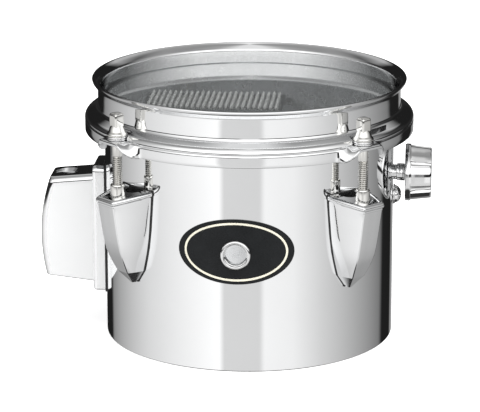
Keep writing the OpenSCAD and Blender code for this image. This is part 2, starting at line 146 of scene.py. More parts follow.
def box(x0, x1, y0, y1, z0, z1):
    vs = [(x, y, z) for z in (z0, z1) for x, y in ((x0, y0), (x1, y0), (x1, y1), (x0, y1))]
    return vs, [(3, 2, 1, 0), (4, 5, 6, 7), (0, 1, 5, 4), (1, 2, 6, 5), (2, 3, 7, 6), (3, 0, 4, 7)]


def loft(rings, cap=(True, True), close=False):
    """Joins rings of equal length (lists of points), in order."""
    n = len(rings[0])
    vs = [p for r in rings for p in r]
    fs = []
    m = len(rings)
    for k in range(m if close else m - 1):
        a, b = k * n, ((k + 1) % m) * n
        for i in range(n):
            j = (i + 1) % n
            fs.append((a + i, a + j, b + j, b + i))
    if not close:
        if cap[0]:
            fs.append(tuple(reversed(range(n))))
        if cap[1]:
            fs.append(tuple(range((m - 1) * n, m * n)))
    return vs, fs


def arc(cx, cy, r, a0, a1, n):
    return [(cx + r * math.cos(math.radians(a0 + (a1 - a0) * i / n)),
             cy + r * math.sin(math.radians(a0 + (a1 - a0) * i / n))) for i in range(n + 1)]


def rounded(points, radius, n):
    """Rounds the corners of a closed 2-D polygon."""
    out = []
    m = len(points)
    for i, p in enumerate(points):
        a, b = Vector(points[i - 1]), Vector(points[(i + 1) % m])
        p = Vector(p)
        da, db = (a - p).normalized(), (b - p).normalized()
        half = math.acos(max(-1, min(1, da.dot(db)))) / 2
        d = min(radius / math.tan(half), 0.49 * (a - p).length, 0.49 * (b - p).length)
        s, e = p + da * d, p + db * d
        for k in range(n + 1):
            t = k / n
            out.append(tuple((1 - t) ** 2 * s + 2 * t * (1 - t) * p + t * t * e))
    return out


def tube(path, radius, sides):
    """A round tube along a list of 3-D points."""
    pts = [Vector(p) for p in path]
    rings = []
    up = Vector((0.13, 0.21, 0.97)).normalized()
    n = len(pts)
    for i, p in enumerate(pts):
        d = (pts[min(i + 1, n - 1)] - pts[max(i - 1, 0)]).normalized()
        side = d.cross(up)
        if side.length < 1e-3:
            side = d.cross(Vector((1, 0, 0)))
        side.normalize()
        nor = side.cross(d).normalized()
        ring = []
        for k in range(sides):
            c, q = polar(1, k, sides)
            ring.append(tuple(p + radius * (c * side + q * nor)))
        rings.append(ring)
    return loft(rings)


def carve(ob, cuts, solver="EXACT"):
    """Cuts each (verts, faces) solid out of ob, in place."""
    for ct in cuts:
        cut = new_mesh("cut", *ct)
        m = ob.modifiers.new("cut", "BOOLEAN")
        m.operation = "DIFFERENCE"
        m.solver = solver
        m.object = cut
        dg = bpy.context.evaluated_depsgraph_get()
        me = bpy.data.meshes.new_from_object(ob.evaluated_get(dg))
        ob.modifiers.clear()
        ob.data = me
        bpy.data.objects.remove(cut)
    return ob


def smooth(ob, sharp):
    for p in ob.data.polygons:
        p.use_smooth = True
    ob.data.set_sharp_from_angle(angle=math.radians(sharp))
    return ob


# ------------------------------------------------------------------ materials
def nodes_of(name):
    m = bpy.data.materials.new(name)
    m.use_nodes = True
    nt = m.node_tree
    return m, nt, nt.nodes["Principled BSDF"]


def noise(nt, scale, detail=4, rough=0.6, stretch=None):
    tc = nt.nodes.new("ShaderNodeTexCoord")
    mp = nt.nodes.new("ShaderNodeMapping")
    if stretch:
        mp.inputs["Scale"].default_value = stretch
    n = nt.nodes.new("ShaderNodeTexNoise")
    n.inputs["Scale"].default_value = scale
    n.inputs["Detail"].default_value = detail
    n.inputs["Roughness"].default_value = rough
    nt.links.new(tc.outputs["Object"], mp.inputs["Vector"])
    nt.links.new(mp.outputs["Vector"], n.inputs["Vector"])
    return n.outputs["Fac"]


def ramp(nt, fac, stops):
    r = nt.nodes.new("ShaderNodeValToRGB")
    el = r.color_ramp.elements
    while len(el) < len(stops):
        el.new(0.5)
    for e, (p, c) in zip(el, stops):
        e.position = p
        e.color = (c, c, c, 1) if isinstance(c, (int, float)) else (*c, 1)
    nt.links.new(fac, r.inputs["Fac"])
    return r.outputs["Color"]


def bump(nt, b, height, strength, dist):
    n = nt.nodes.new("ShaderNodeBump")
    n.inputs["Strength"].default_value = strength
    n.inputs["Distance"].default_value = dist
    nt.links.new(height, n.inputs["Height"])
    nt.links.new(n.outputs["Normal"], b.inputs["Normal"])


def metal(name, col, rough, var, grain=None, bump_s=0.0, bump_scale=900, fine=260, metallic=1.0):
    """Plated metal: a slight tone and roughness variation, and an optional fine grain."""
    m, nt, b = nodes_of(name)
    b.inputs["Metallic"].default_value = metallic
    lo = tuple(c * (1 - var) for c in col)
    nt.links.new(ramp(nt, noise(nt, 38), [(0.3, lo), (0.7, col)]), b.inputs["Base Color"])
    f = noise(nt, fine, 3, 0.5, grain)
    nt.links.new(ramp(nt, f, [(0.35, rough * 0.7), (0.7, rough * 1.5)]), b.inputs["Roughness"])
    if bump_s:
        bump(nt, b, noise(nt, bump_scale, 3, 0.6, grain), bump_s, 0.00005)
    return m


def plastic(name, col, rough, var=0.25, bump_s=0.2, specular=0.5):
    m, nt, b = nodes_of(name)
    b.inputs["Specular IOR Level"].default_value = specular
    lo = tuple(c * (1 - var) for c in col)
    nt.links.new(ramp(nt, noise(nt, 120), [(0.35, lo), (0.7, col)]), b.inputs["Base Color"])
    nt.links.new(ramp(nt, noise(nt, 400), [(0.3, rough * 0.8), (0.7, rough * 1.2)]), b.inputs["Roughness"])
    bump(nt, b, noise(nt, 600), bump_s, 0.0001)
    return m


CHROME = (0.93, 0.935, 0.94)
chrome = metal("chrome_shell", CHROME, 0.035, 0.02)
chrome_hoop = metal("chrome_hoop", CHROME, 0.05, 0.03)
chrome_cast = metal("chrome_cast", CHROME, 0.06, 0.03, bump_s=0.02, bump_scale=300)
chrome_soft = metal("chrome_soft", (0.97, 0.975, 0.98), 0.2, 0.01, fine=9, metallic=0.6)
shell_inside = metal("shell_inside", (0.84, 0.85, 0.86), 0.2, 0.05, metallic=0.8)
chrome_trim = metal("chrome_trim", (0.9, 0.9, 0.9), 0.06, 0.04)
nickel = metal("nickel_rod", (0.88, 0.87, 0.84), 0.07, 0.06)
# a dark nickel: painted shade for the thread roots
thread_root_shade = metal("thread_root_shade", (0.2, 0.19, 0.17), 0.3, 0.2)
zinc = metal("zinc_plate", (0.76, 0.77, 0.77), 0.2, 0.12, bump_s=0.1)
wire_steel = metal("wire_steel", (0.99, 0.985, 0.97), 0.25, 0.02, metallic=0.2)
alu = metal("aluminium", (0.78, 0.79, 0.8), 0.25, 0.08, grain=(1, 1, 14), bump_s=0.06)
brass = metal("brass", (0.83, 0.66, 0.36), 0.22, 0.1, bump_s=0.08)
rubber = plastic("black_rubber", (0.018, 0.018, 0.018), 0.55)
enamel = plastic("black_enamel", (0.010, 0.011, 0.012), 0.3, bump_s=0.05, specular=0.16)
cream = plastic("cream_print", (0.70, 0.67, 0.55), 0.4, 0.12, bump_s=0.1)


def film_material():
    """Clear film with a little haze, which mirrors more at a flat angle."""
    m = bpy.data.materials.new("clear_film")
    m.use_nodes = True
    nt = m.node_tree
    nt.nodes.clear()
    out = nt.nodes.new("ShaderNodeOutputMaterial")
    clear = nt.nodes.new("ShaderNodeBsdfTransparent")
    gloss = nt.nodes.new("ShaderNodeBsdfGlossy")
    gloss.inputs["Roughness"].default_value = 0.02
    mix = nt.nodes.new("ShaderNodeMixShader")
    fres = nt.nodes.new("ShaderNodeLayerWeight")
    fres.inputs["Blend"].default_value = 0.5
    tint = ramp(nt, noise(nt, 60), [(0.3, (0.93, 0.94, 0.94)), (0.7, (0.97, 0.975, 0.975))])
    nt.links.new(tint, clear.inputs["Color"])
    mirror_share = [(0.0, 0.05), (0.5, 0.08), (0.68, 0.2), (0.76, 0.36), (1.0, 0.95)]
    nt.links.new(ramp(nt, fres.outputs["Facing"], mirror_share), mix.inputs["Fac"])
    haze = nt.nodes.new("ShaderNodeBsdfDiffuse")
    haze.inputs["Color"].default_value = (0.8, 0.82, 0.82, 1)
    body = nt.nodes.new("ShaderNodeMixShader")
    body.inputs["Fac"].default_value = 0.06
    nt.links.new(clear.outputs[0], body.inputs[1])
    nt.links.new(haze.outputs[0], body.inputs[2])
    nt.links.new(body.outputs[0], mix.inputs[1])
    nt.links.new(gloss.outputs[0], mix.inputs[2])
    nt.links.new(mix.outputs[0], out.inputs["Surface"])
    return m


film = film_material()
BY_SLOT = {
    "chromed_steel": chrome, "chromed_hoop": chrome_hoop, "chrome_casting": chrome_cast,
    "chrome_trim": chrome_trim, "plated_steel": zinc, "plated_rod": nickel, "snare_steel": wire_steel,
    "aluminium_hoop": alu, "clear_film": film, "gasket_rubber": rubber, "badge_enamel": enamel,
    "brass_nut": brass,
}
slot_of = {s["node"]: s["material_slot"] for s in frame["record"]["subparts"]}
body_of = {n: b for b, ns in frame["record"]["behaviour"]["bodies"].items() for n in ns}
for name, ob in frame["nodes"].items():
    ob.data.materials.clear()
    ob.data.materials.append(BY_SLOT[slot_of[name]])


def stands_for(ob, node):
    """ob is shown in place of a CAD node, on the node's body."""
    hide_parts(node)
    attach(ob, body_of[node])
    return ob


# ------------------------------------------------------------------ shell
def build_shell():
    R, T, H = SHELL_R, SHELL_T, SHELL_H
    out = arc(R - 0.9, 0.9, 0.9, 225, 360, 6) + [(R, z) for z in (1.5, 30, 60, 90, 118, 124.9)]
    out += [(R - 0.25, 125.4), (R - 1.6, H), (R - 1.9, H)]
    inn = [(R - T, 124.6), (R - T, 100), (R - T, 50), (R - T, 2.0)]
    inn += [(R - d, z) for d, z in ((1.6, 1.3), (2.6, 1.2), (2.8, 0.9), (2.7, 0.3), (2.4, 0), (1.4, 0))]
    ob = new_mesh("shell_skin", *lathe(out + inn, 360, closed=True), sharp=30, mat=chrome)
    # angle, height and radius: the vent, the knob's side, the bracket's screws and the lugs' screws
    holes = [(VENT_ANGLE, VENT_Z, 5.78), (90, KNOB_Z, 4.1), (90, DOME_Z, 2.2)]
    holes += [(-90, 38, 3.25), (-90, 72, 3.25)]
    holes += [(a, z, 2.2) for a in LUG_ANGLES.values() for z in LUG_SCREW_Z]
    drills = []
    for ang, z, r in holes:
        turn = to_angle(ang)
        drills.append(xf(cylinder(r, 70, 80, 40), lambda p: turn((p[2], p[0], p[1] + z))))
    me = carve(ob, [merge(drills)]).data
    # the plain walls keep exact cylinder normals round their holes
    normals = [Vector((0, 0, 0))] * len(me.loops)
    for p in me.polygons:
        r = math.hypot(p.center.x, p.center.y) / MM
        out_dir = Vector((p.center.x, p.center.y, 0)).normalized()
        facing = p.normal.dot(out_dir)
        if abs(facing) > 0.9:
            for li in p.loop_indices:
                v = me.vertices[me.loops[li].vertex_index].co
                normals[li] = Vector((v.x, v.y, 0)).normalized() * (1 if facing > 0 else -1)
        if facing < -0.5 or r < 74.9:
            p.material_index = 1
    me.normals_split_custom_set(normals)
    me.materials.append(shell_inside)
    return stands_for(ob, "shell")


# ------------------------------------------------------------------ hoop
HOOP_T = 2.0
EAR_FLAT = 3.6
EAR_END = 10.8


def hoop_section(off):
    """Closed (r, z) section of the hoop; off is the angle from the nearest ear's middle.

    f runs from 0 at the ear, which lies flat, to 1 where the skirt hangs down.
    """
    f = min(max((abs(off) - EAR_FLAT) / (EAR_END - EAR_FLAT), 0), 1)
    f = f * f * (3 - 2 * f)
    bend = math.radians(90 * f)
    reach = 6.7 * f + 9.1 * (1 - f)
    t = HOOP_T / 2
    c = (85.2, 116.7)
    n = (math.sin(bend), math.cos(bend))
    d = (math.cos(bend), -math.sin(bend))

    def at(s, q):
        return (c[0] + n[0] * t * q + d[0] * s, c[1] + n[1] * t * q + d[1] * s)

    end = 16 * (1 - f)
    sec = [(82.3, 137.1), (82.05, 136.1), (81.2, 134.9)] + arc(81.5, 132.6, 2.2, 130, 180, 5)
    sec += [(79.3, 130), (79.3, 127)] + arc(81.9, 123.7, 2.6, 180, 246, 7)
    sec += arc(82.85, 116.9, 3.4, 70, end, 12)
    groove = 0.32 * f
    sec += [at(0.35, 1 - groove), at(0.75, 1), at(1.6, 1), at(reach * 0.6, 1), at(reach - 0.5, 1)]
    sec += [at(reach - 0.12, 0.8), at(reach, 0.45), at(reach, -0.45), at(reach - 0.12, -0.8)]
    sec += [at(reach - 0.5, -1), at(reach * 0.6, -1), at(1.6, -1)]
    sec += [(84.1, 117.0), (81.4, 118.4), (79.4, 119.3)] + arc(79.4, 121.8, 2.4, 250, 180, 5)
    sec += [(77.0, 126), (77.0, 130)] + arc(79.2, 133.4, 2.2, 180, 135, 5)
    return sec + [(78.9, 136.3), (80.6, 137.55), (81.4, 137.75), (82.0, 137.6)]


def build_hoop():
    rings = []
    count = 720
    for i in range(count):
        ang = 360 * i / count
        c, q = math.cos(math.radians(ang)), math.sin(math.radians(ang))
        rings.append([(r * c, r * q, z) for r, z in hoop_section(ang % 90 - 45)])
    ob = new_mesh("hoop_pressing", *flip(loft(rings, close=True)), sharp=40, mat=chrome_hoop)
    cuts = []
    for ang in LUG_ANGLES.values():
        # a flat seat for the washer, and the rod's hole
        for r, z0, z1 in [(5.75, 117.72, 126), (3.0, 108, 120)]:
            cuts.append(xf(shift(cylinder(r, z0, z1, 48), ROD_CIRCLE), to_angle(ang)))
    return stands_for(carve(ob, cuts), "counter_hoop")


# ------------------------------------------------------------------ tension rods
def thread_geo(lo, hi, pitch=1.0583, seg=28):
    """A cut thread whose flanks are a clipped triangle wave, run in at its lower end."""
    rows = int((hi - lo) / pitch * 8)
    rings = []
    for k in range(rows + 1):
        z = lo + (hi - lo) * k / rows
        most = 2.68 if z > 109.0 else 2.69
        start = 0.86 + 0.14 * min(1, (z - lo) / 0.8)
        ring = []
        for i in range(seg):
            wave = 1 - abs(2 * ((z / pitch - i / seg) % 1) - 1)
            depth = min(max((wave - 0.12) / 0.76, 0), 1)
            ring.append((*polar(min((2.05 + 0.64 * depth) * start, most), i, seg), z))
        rings.append(ring)
    return loft(rings)


def build_rod(key):
    turn = to_angle(LUG_ANGLES[key])
    collar = 119.75
    prof = [(0, 109), (2.35, 109), (2.68, 109.5), (2.68, collar - 0.3), (3.0, collar), (4.9, collar)]
    prof += [(r, collar + h) for r, h in ((5.15, 0.25), (5.22, 0.7), (5.1, 1.25), (4.75, 1.7), (4.35, 2.1),
                                          (4.0, 2.7), (3.75, 3.6), (3.4, 4.6), (2.9, 5.4), (0, 5.4))]
    head = []
    for z, w, r in [(121.5, 2.5, 1.6), (124.2, 2.72, 1.3), (125.6, 2.82, 0.85), (130.2, 2.80, 0.85),
                    (130.8, 2.72, 0.9), (131.2, 2.5, 0.95), (131.45, 2.1, 0.9), (131.58, 1.3, 0.7)]:
        ring = rounded([(-w, -w), (w, -w), (w, w), (-w, w)], r * 1.2, 6)
        head.append([(x, y, z) for x, y in ring])
    lo, hi = 74.3, 109.6
    parts = [lathe(prof, 48), loft(head), thread_geo(lo, hi)]
    parts = [xf(shift(p, ROD_CIRCLE), turn) for p in parts]
    ob = join("tension_rod_" + key, parts, 40, nickel)
    # painted shade: the flanks deep in the thread's grooves get the dark nickel
    ob.data.materials.append(thread_root_shade)
    ax, ay, _ = turn((ROD_CIRCLE, 0, 0))
    for p in ob.data.polygons:
        c = p.center / MM
        in_thread = lo + 0.3 < c.z < hi - 0.4 and math.hypot(c.x - ax, c.y - ay) < 2.36
        if in_thread and abs(p.normal.z) < 0.8:
            p.material_index = 1
    return stands_for(ob, "rod_" + key)


def at_each_rod(prof, seg):
    """The same turned part on all four rods' axes."""
    return [xf(shift(lathe(prof, seg, closed=True), ROD_CIRCLE), to_angle(a)) for a in LUG_ANGLES.values()]


def build_nuts():
    prof = [(2.75, 80.4), (4.3, 80.4), (4.35, 80.8), (4.35, 87.3), (3.7, 87.6), (3.7, 93.6), (3.62, 94.1),
            (3.35, 94.45), (2.95, 94.5), (2.75, 94.2)]
    return stands_for(join("swivel_nut_set", at_each_rod(prof, 48), 35, nickel), "swivel_nuts")


# ------------------------------------------------------------------ film
def build_film():
    low, high = 126.76, 126.98
    prof = [(0, low), (40, low), (75.2, low), (75.2, high), (40, high), (0, high)]
    return stands_for(new_mesh("film_disc", *lathe(prof, 240), sharp=30, mat=film), "drumhead_film")


# ------------------------------------------------------------------ snare wires
def build_wires():
    count, pitch, coil_r, turns, per = 24, 2.9, 0.66, 34, 10
    x0 = (-54.5 + 18.5 - (count - 1) * pitch) / 2
    y0, y1, z = -23.0, 12.0, 125.55
    ya, yb = y0 + 1.4, y1 - 1.4
    steps = turns * per
    parts = []
    for i in range(count):
        x = x0 + i * pitch
        path = []
        for k in range(steps + 1):
            a = 2 * math.pi * k / per + i
            path.append((x + coil_r * math.cos(a), ya + (yb - ya) * k / steps, z + coil_r * math.sin(a)))
        parts.append(tube(path, 0.19, 5))
        # a straight tail at each end, bent up over the carrier's edge
        for ye, s in ((y0, 1), (y1, -1)):
            tail = [(0.15, -0.5), (0.1, 0.1), (0.5, 0.55), (1.5, 0.55), (2.4, 0.2)]
            parts.append(tube([(x, ye + s * d, z + h) for d, h in tail], 0.32, 8))
    return stands_for(join("coiled_wires", parts, 60, wire_steel), "snare_wires")


# ------------------------------------------------------------------ lugs
TOP_PITCH = math.tan(math.radians(7.48))
LUG_CREASE_Z = 47.3
# height, half width at the shell, distance of the front face, its half width
LUG_ROWS = [(40.5, 1.0, 79.6, 0.6), (43.9, 3.5, 82.5, 2.35), (LUG_CREASE_Z, 6.0, 85.6, 4.1),
            (50, 6.8, 87.0, 4.7), (53, 7.6, 88.5, 5.25), (56, 8.35, 89.9, 5.7), (60, 9.2, 91.5, 6.0),
            (65, 10.0, 92.65, 6.15), (70, 10.6, 93.6, 6.2), (76, 11.1, 94.6, 6.3), (80, 11.5, 95.25, 6.35),
            (84, 11.8, 95.9, 6.4)]
# the rolled lip at the top: depth below the top plane, growth of the section
LUG_LIP = [(3.7, 0.0), (3.05, 0.0), (2.9, -0.22), (2.72, -0.22), (2.6, 0.3), (2.25, 0.62), (1.75, 0.78),
           (1.15, 0.74), (0.6, 0.46), (0.22, 0.05), (0.03, -0.45), (0.0, -0.9), (0.16, -1.4), (0.5, -1.75),
           (0.8, -1.9), (0.86, -2.4)]


def lug_ring(b, u, t, z, grow=0.0, soft=1.1):
    """One section of a lug: soft corners at the two front ridges, and its back on the shell."""
    seat = 76.93
    b, u, t = b + grow, u + grow, t + grow * 0.6
    x0 = math.sqrt(seat * seat - b * b)
    corners = [Vector(c) for c in ((x0, b), (u, t), (u, -t), (x0, -b))]
    r = min(soft, t * 0.7)
    front = []
    for a, p, c in zip(corners, corners[1:], corners[2:]):
        da, dc = (a - p).normalized(), (c - p).normalized()
        d = r / math.tan(math.acos(max(-1, min(1, da.dot(dc)))) / 2)
        d = min(d, 0.45 * (a - p).length, 0.45 * (c - p).length)
        s, e = p + da * d, p + dc * d
        bend = [j / 6 for j in range(7)]
        front.append([tuple((1 - k) ** 2 * s + 2 * k * (1 - k) * p + k * k * e) for k in bend])
    (fx, fy), side = front[0][0], []
    length = math.hypot(fx - x0, fy - b)
    nx, ny = (b - fy) / length, (fx - x0) / length
    for k in (0, 0.03, 0.14, 0.26, 0.38, 0.5, 0.62, 0.74, 0.86, 0.95):
        swell = 0.55 * math.sin(math.pi * k) ** 0.8 * min(1, length / 14)
        side.append((x0 + (fx - x0) * k + nx * swell, b + (fy - b) * k + ny * swell))
    face = [(front[0][-1][0], front[0][-1][1] * (1 - k) + front[1][0][1] * k) for k in (0.33, 0.67)]
    other = [(x, -y) for x, y in reversed(side)]
    back = [(math.sqrt(seat * seat - (b * k) ** 2), b * k) for k in (-0.75, -0.5, -0.25, 0, 0.25, 0.5, 0.75)]
    ring = side + front[0] + face + front[1] + other + back
    return [(x, y, z(x) if callable(z) else z) for x, y in ring]


def lug_mesh():
    rings = [lug_ring(b, u, t, z, 0, 0.5 + 0.6 * min(1, (z - 40) / 20)) for z, b, u, t in LUG_ROWS]
    for down, grow in LUG_LIP:
        rings.append(lug_ring(12.0, 96.15, 6.45, lambda x: 90.6 - down - (x - 76) * TOP_PITCH, grow))
    body = new_mesh("lug_body", *flip(loft(rings)), sharp=28)
    # the swivel nut's seat and neck, the rod's run-out, and the round notch against the shell
    holes = [(88, 3.85, 80.4, 99), (88, 4.4, 80.4, 87.6), (88, 3.05, 72, 82), (76.9, 5.0, 85.5, 99)]
    cuts = [shift(cylinder(r, z0, z1, 48), x) for x, r, z0, z1 in holes]
    for z in LUG_SCREW_Z:
        cuts.append(xf(cylinder(2.0, 70, 82, 24), lambda p: (p[2], p[0], p[1] + z)))
    return carve(body, cuts, "MANIFOLD")


def build_lugs():
    base = smooth(lug_mesh(), 24)
    # the underside starts with a crisp edge
    at = [abs(v.co.z / MM - LUG_CREASE_Z) < 0.02 for v in base.data.vertices]
    for e in base.data.edges:
        if at[e.vertices[0]] and at[e.vertices[1]]:
            e.use_edge_sharp = True
    for key, ang in LUG_ANGLES.items():
        me = base.data.copy()
        me.transform(Matrix.Rotation(math.radians(ang - 90), 4, "Z"))
        me.materials.clear()
        me.materials.append(chrome_cast)
        ob = bpy.data.objects.new("lug_casting_" + key, me)
        bpy.context.scene.collection.objects.link(ob)
        stands_for(ob, "lug_" + key)
    bpy.data.objects.remove(base)


# ------------------------------------------------------------------ bracket
def arch(half_w, top, low, edge, small=0.7, n=8, mid=16):
    """Closed outline in (tangential, height), symmetric: large rounds at the top, small ones below."""
    right = arc(half_w - small, low + small, small, -90, 0, n)
    z0, z1 = low + small, top - edge
    right += [(half_w, z0 + (z1 - z0) * k / mid) for k in range(1, mid)]
    right += arc(half_w - edge, top - edge, edge, 0, 90, n)
    return right + [(-y, z) for y, z in reversed(right)]


def sheet_cap(geo, start, n, turn=False):
    """Closes a symmetric ring with strips that run straight across."""
    half = n // 2
    fs = []
    for j in range(half - 1):
        q = (start + j, start + j + 1, start + n - 2 - j, start + n - 1 - j)
        fs.append(tuple(reversed(q)) if turn else q)
    return geo[0], geo[1] + fs


def housing_geo():
    """The bracket's body: a sloping top, and an end that bulges outward with rounded edges."""
    slope = math.tan(math.radians(5.35))
    half_w, edge, top_z, end_z = 12.5, 3.0, 85.3, 83.35

    def top(u):
        return top_z - (u - 82) * slope

    rings = []
    for u in (80.0, 84, 90, 95, 99):
        rings.append([(u, y, z) for y, z in arch(half_w, top(u), 26.9 + (u - 82) * 0.116, edge, 0.6)])
    base = arch(half_w, end_z, 29.5, edge, 0.6)
    for k in range(10):
        a = math.radians(10 * k)
        narrow = (half_w - edge * (1 - math.cos(a))) / half_w
        ring = []
        for y, z in base:
            u = 13 + math.sqrt(97 * 97 - (z - 52) ** 2) - edge + edge * math.sin(a)
            lift = (top(u) - end_z) * max(0, (z - 75) / (end_z - 75))
            ring.append((u, y * narrow, min(z + lift, top(u))))
        rings.append(ring)
    n = len(rings[0])
    geo = loft(rings, cap=(True, False))
    return sheet_cap(geo, (len(rings) - 1) * n, n)


def flange_geo():
    rings = []
    for u, ins in [(0, 0), (79, 0), (80.4, 0), (81.2, 0.12), (81.7, 0.4), (81.95, 0.8), (82.0, 1.3)]:
        outline = arch(13.6 - ins, 90 - ins, 22.2 + ins, 3.0 - ins * 0.5, 0.8)
        rings.append([(u or math.sqrt(76.95 ** 2 - y * y), y, z) for y, z in outline])
    n = len(rings[0])
    geo = loft(rings, cap=(False, False))
    geo = sheet_cap(geo, 0, n, True)
    return sheet_cap(geo, (len(rings) - 1) * n, n)


def build_bracket():
    body = new_mesh("housing_body", *housing_geo(), sharp=30)
    eye_low, eye_high = EYE_Z - 4.3, EYE_Z + 4.3
    bores = [(5.3, 20, 90), (7.6, 20, 28.6), (9.5, eye_low, eye_high)]
    cuts = [shift(cylinder(r, z0, z1, 64), BORE_X) for r, z0, z1 in bores]
    # the eyebolt's pocket is longer than the eye, by its travel
    cuts.append(shift(cylinder(9.45, eye_low, eye_high, 64), BORE_X, -1.3))
    cuts.append(shift(lathe([(0, 82.0), (5.3, 82.6), (7.3, 84.6), (7.3, 90), (0, 90)], 64), BORE_X))
    cuts.append(xf(cylinder(3.3, -20, 0, 40), lambda p: (p[0] + BORE_X, p[2], p[1] + EYE_Z)))
    cuts.append(box(BORE_X - 4.5, BORE_X + 4.5, -20, -4, eye_low, eye_high))
    carve(body, cuts)
    flange = new_mesh("flange_body", *flange_geo(), sharp=30)
    geo = []
    for ob in (body, flange):
        points = [tuple(v.co / MM) for v in ob.data.vertices]
        geo.append((points, [tuple(p.vertices) for p in ob.data.polygons]))
        bpy.data.objects.remove(ob)
    turn = to_angle(-90)
    ob = join("rod_bracket", [xf(g, turn) for g in geo], 28, chrome_cast)
    # the two flat sides are brushed softer than the rest
    ob.data.materials.append(chrome_soft)
    for p in ob.data.polygons:
        if abs(p.normal.y) > 0.999 and abs(p.center.y) > 0.012:
            p.material_index = 1
    return stands_for(ob, "bracket_casting")


# ------------------------------------------------------------------ knob
# distance along the axis, radius, how much of a groove's depth is cut there
KNOB_STEPS = [(82.2, 14.2, 0), (82.25, 14.6, 0), (82.5, 14.95, 0), (82.9, 15.1, 0), (84.7, 15.1, 0),
              (84.95, 15.0, 0), (85.1, 14.75, 0), (85.15, 14.55, 0.15), (85.3, 14.5, 0.8), (85.8, 14.48, 1),
              (88, 14.2, 1), (92, 13.75, 1), (95.0, 13.4, 1), (95.5, 13.25, 1), (95.85, 12.95, 0.95),
              (96.0, 12.5, 0.85), (96.0, 11.0, 0.4), (95.9, 8.0, 0), (95.75, 7.6, 0), (95.75, 3.0, 0)]
KNOB_BACK = [(82.9, 5.0, 0), (82.9, 10.8, 0), (82.2, 11.5, 0)]


def build_knob():
    seg, spacing, phase = 240, 60, 56
    rings = []
    for x, r, share in KNOB_BACK + KNOB_STEPS:
        ring = []
        for i in range(seg):
            deg = 360 * i / seg
            away = abs((deg - phase + spacing / 2) % spacing - spacing / 2)
            depth = 1.5 * max(0.0, 1 - (away / 9.5) ** 2) ** 0.75 + 0.22 * max(0.0, 1 - away / 16)
            a = math.radians(deg)
            rr = r - share * depth
            ring.append((x, rr * math.sin(a), KNOB_Z - rr * math.cos(a)))
        rings.append(ring)
    stands_for(join("grooved_knob", [loft(rings)], 26, chrome_trim), "adjuster_knob")


def build_neck():
    """The bushing: a grooved barrel inside the shell, and a neck outside it."""
    prof = [(2.55, 69.0), (3.8, 69.0), (3.95, 69.15)]
    for k in range(9):
        prof += [(3.95, 69.3 + k * 0.5), (3.62, 69.5 + k * 0.5)]
    prof += [(3.95, 74.0), (3.95, 77.55), (3.8, 77.7), (4.2, 77.75), (4.45, 77.9), (4.6, 78.15), (4.6, 81.5)]
    prof += [(4.5, 81.75), (4.25, 81.9), (2.55, 81.9)]
    geo = xf(lathe(prof, 64, closed=True), lambda v: (v[2], v[0], v[1] + KNOB_Z))
    stands_for(join("adjuster_neck", [geo], 35, chrome_trim), "adjuster_bushing")


def build_dome():
    """A cross-slotted dome head with its shank."""
    prof = [(0, 69.2), (1.95, 69.2), (1.95, 76.15), (5.1, 76.15), (5.3, 76.3), (5.3, 76.8), (5.1, 76.95)]
    prof += [(4.7, 76.95), (4.6, 77.1)]
    for t in range(8, 82, 8):
        prof.append((4.6 * math.cos(math.radians(t)), 77.1 + 3.25 * math.sin(math.radians(t))))
    prof += [(0.25, 80.35), (0, 80.35)]
    ob = new_mesh("dome_body", *xf(lathe(prof, 64), lambda v: (v[2], v[0], v[1] + DOME_Z)), sharp=30)
    slots = [box(79.1, 82, -hy, hy, DOME_Z - hz, DOME_Z + hz) for hy, hz in ((0.5, 4), (4, 0.5))]
    smooth(carve(ob, slots), 30).name = "cross_dome_screw"
    ob.data.materials.append(chrome_trim)
    stands_for(ob, "dome_screw")


# ------------------------------------------------------------------ washers, badge, grommet
def build_washers():
    """On each rod a plain washer and a steel one, drawn as one turned outline with a groove between them."""
    prof = [(2.9, 117.82), (4.7, 117.82), (5.1, 117.95), (5.2, 118.2), (5.15, 118.5), (4.85, 118.68),
            (4.6, 118.72), (4.6, 118.86), (4.85, 118.9), (5.15, 119.05), (5.2, 119.35), (5.05, 119.6),
            (4.7, 119.69), (2.9, 119.69)]
    return stands_for(join("rod_washer_set", at_each_rod(prof, 56), 32, chrome_trim), "rod_washers")


BADGE_R = 76.6
BADGE_W = 30.2
BADGE_H = 17.05
BADGE_Z = 63.9


def on_badge(x, z, lift):
    """A point of the badge's flat artwork (mm from its middle) wrapped on the curved plate."""
    r = BADGE_R + lift
    a = math.radians(VENT_ANGLE - 90) + x / BADGE_R
    return r * math.cos(a), r * math.sin(a), BADGE_Z + z


def ribbon(path, width, lift=0.05):
    """A slightly domed stroke along a flat path; width is a function of the position 0..1 along it."""
    vs, fs = [], []
    n = len(path)
    for i, (x, z) in enumerate(path):
        ax, az = path[max(i - 1, 0)]
        bx, bz = path[min(i + 1, n - 1)]
        d = math.hypot(bx - ax, bz - az) or 1
        nx, nz = -(bz - az) / d, (bx - ax) / d
        w = width(i / (n - 1)) / 2
        for q, h in ((-1, 0.005), (-0.7, lift), (0, lift * 1.3), (0.7, lift), (1, 0.005)):
            vs.append(on_badge(x + nx * w * q, z + nz * w * q, h))
    for i in range(n - 1):
        for k in range(4):
            a = i * 5 + k
            fs.append((a, a + 1, a + 6, a + 5))
    return vs, fs


def ellipse(t, k):
    """A point of the badge's outline scaled by k, at t degrees."""
    return BADGE_W * k * math.cos(math.radians(t)), BADGE_H * k * math.sin(math.radians(t))


